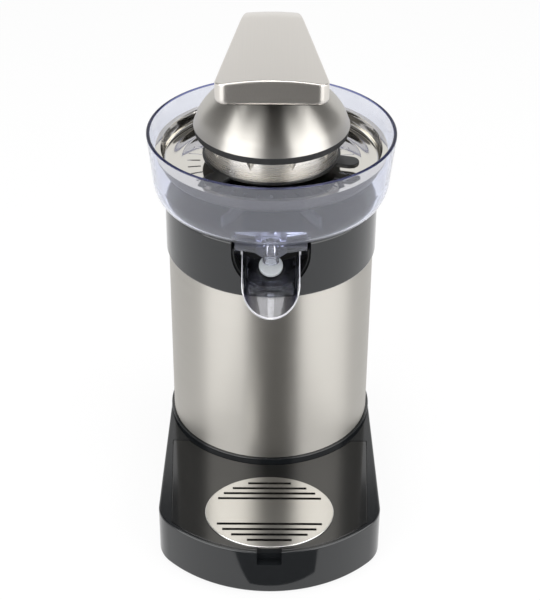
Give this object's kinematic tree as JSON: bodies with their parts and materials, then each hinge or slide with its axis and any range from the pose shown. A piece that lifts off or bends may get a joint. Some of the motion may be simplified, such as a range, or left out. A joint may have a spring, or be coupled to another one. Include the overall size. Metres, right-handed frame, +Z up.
{
  "type": "citrus juicer",
  "caption": "Electric citrus press: steel body on a black base with drip grille, clear bowl with sieve and reamer, flip spout, and a hinged lever that presses a steel dome.",
  "frame": {"origin": "middle of the footprint at table level, under the bounding box's centre", "axes": "+Z up along the drive axis's direction, front of the juicer towards -Y, +X to its left as seen from behind, which is the viewer's right"},
  "size_m": [0.1534, 0.2494, 0.2941],
  "materials": {
    "brushed_steel": "brushed, satin",
    "black_gloss": "gloss",
    "black_satin": "satin",
    "clear_bowl": "clear plastic, gloss",
    "smoked_clear": "smoked clear plastic, gloss",
    "grey_silicone": "matt silicone",
    "black_rubber": "matt",
    "plain_steel": "bright",
    "gear_plastic": "natural moulding",
    "laminations": "bare",
    "copper": "enamelled wire"
  },
  "bodies": {
    "housing": {"base_housing": "black_gloss", "bottom_cover": "black_satin", "rubber_feet": "black_rubber", "cover_screws": "plain_steel", "cord_gland": "black_satin", "tie_rods": "plain_steel", "foot_ring": "black_gloss", "steel_sleeve": "brushed_steel", "upper_housing": "black_gloss", "spout_liner": "black_satin", "gearbox_plate": "gear_plastic", "gearbox_cover": "gear_plastic", "gearbox_screws": "plain_steel", "motor_stator": "laminations", "motor_coils": "copper", "motor_end_plate": "gear_plastic", "motor_screws": "plain_steel", "gear_axle": "plain_steel", "micro_switch": "black_satin", "shaft_seal": "black_rubber", "juice_bowl": "clear_bowl", "sieve": "brushed_steel", "hinge_bracket": "black_gloss", "hinge_pin": "plain_steel", "bracket_screws": "plain_steel"},
    "tray": {"drip_tray": "black_gloss"},
    "grille": {"drip_grille": "brushed_steel"},
    "chute": {"flip_chute": "smoked_clear", "drip_stop_pad": "grey_silicone"},
    "lever": {"lever_shell": "brushed_steel", "lever_core": "black_satin", "dome_pin": "plain_steel"},
    "dome": {"press_dome": "brushed_steel", "dome_liner": "black_satin", "dome_rim": "black_rubber", "dome_stud": "plain_steel"},
    "press_carriage": {"thrust_bush": "gear_plastic", "return_spring": "plain_steel"},
    "drive": {"drive_shaft": "plain_steel", "output_gear": "gear_plastic", "reamer_cone": "brushed_steel", "reamer_base": "black_satin"},
    "compound": {"compound_gear": "gear_plastic"},
    "rotor": {"motor_rotor": "laminations", "motor_pinion": "gear_plastic"},
    "plunger": {"switch_plunger": "gear_plastic"}
  },
  "joints": [
    {"name": "lever_hinge", "type": "hinge", "parent": "housing", "child": "lever", "pos_m": [0, 0.1157, 0.192], "axis": [-1, 0, 0], "range_deg": [0, 70]},
    {"name": "dome_tilt", "type": "hinge", "parent": "lever", "child": "dome", "pos_m": [0, 0.0287, 0.2832], "axis": [1, 0, 0], "range_deg": [-2, 2]},
    {"name": "chute_flip", "type": "hinge", "parent": "housing", "child": "chute", "pos_m": [0, -0.0273, 0.1855], "axis": [-1, 0, 0], "range_deg": [0, 28]},
    {"name": "tray_lift", "type": "slide", "parent": "housing", "child": "tray", "axis": [0, 0, 1], "range_m": [0, 0.03]},
    {"name": "grille_lift", "type": "slide", "parent": "tray", "child": "grille", "axis": [0, 0, 1], "range_m": [0, 0.02]},
    {"name": "press_stroke", "type": "slide", "parent": "housing", "child": "press_carriage", "axis": [0, 0, -1], "range_m": [0, 0.0015], "stiffness_N_per_m": 2500, "springref_m": -0.004, "deforming": ["return_spring"]},
    {"name": "reamer_spin", "type": "hinge", "parent": "press_carriage", "child": "drive", "pos_m": [0, 0.0287, 0.1958], "axis": [0, 0, 1], "continuous": true},
    {"name": "compound_spin", "type": "hinge", "parent": "housing", "child": "compound", "pos_m": [0, 0.0587, 0.1351], "axis": [0, 0, 1], "continuous": true},
    {"name": "rotor_spin", "type": "hinge", "parent": "housing", "child": "rotor", "pos_m": [0, 0.0287, 0.0766], "axis": [0, 0, 1], "continuous": true},
    {"name": "plunger_press", "type": "slide", "parent": "housing", "child": "plunger", "axis": [0, 0, -1], "range_m": [0, 0.0015]}
  ],
  "couplings": [
    {"joint": "compound_spin", "follows": "reamer_spin", "ratio": -3},
    {"joint": "rotor_spin", "follows": "reamer_spin", "ratio": 9},
    {"joint": "plunger_press", "follows": "press_stroke", "ratio": 1}
  ]
}
